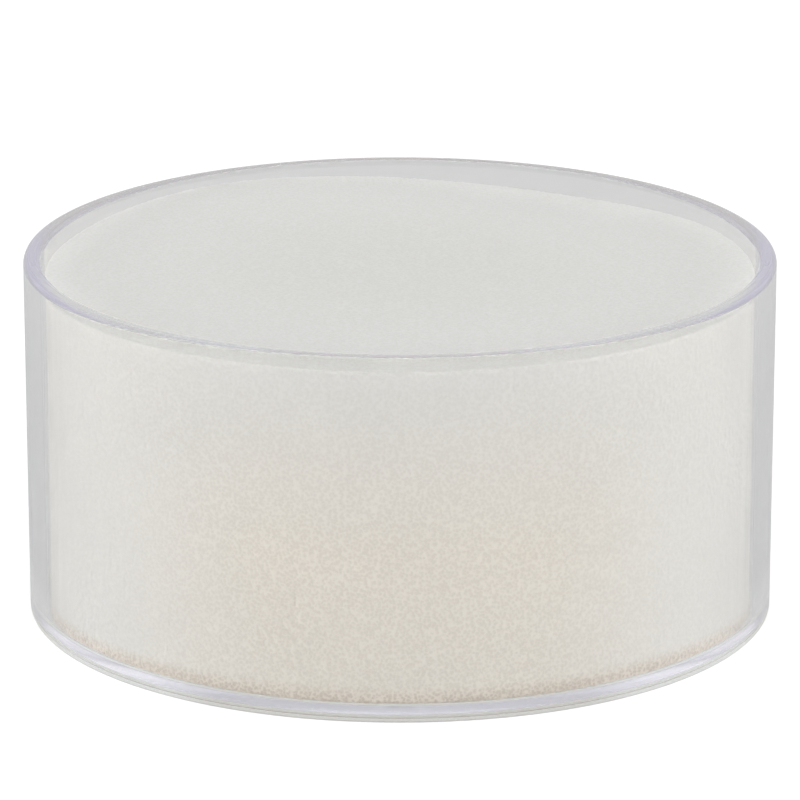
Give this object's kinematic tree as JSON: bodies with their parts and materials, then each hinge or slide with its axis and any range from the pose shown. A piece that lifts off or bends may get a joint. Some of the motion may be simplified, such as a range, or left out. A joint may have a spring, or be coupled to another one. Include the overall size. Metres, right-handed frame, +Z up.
{
  "type": "finger moistener",
  "caption": "Round clear plastic dish filled with a loose absorbent sponge disc that wets a fingertip for counting notes or turning pages.",
  "frame": {"origin": "middle of the foot ring, on the surface that the dish stands on", "axes": "+Z up along the axis of the round dish; +X to the right and -Y towards the viewer in the picture"},
  "size_m": [0.085, 0.085, 0.0412],
  "materials": {
    "clear_plastic": "polished",
    "foam": "matte"
  },
  "bodies": {
    "dish": {"dish": "clear_plastic"},
    "sponge": {"sponge": "foam"}
  },
  "joints": [
    {"name": "sponge_lift", "type": "slide", "parent": "dish", "child": "sponge", "axis": [0, 0, 1], "range_m": [0, 0.045]}
  ]
}
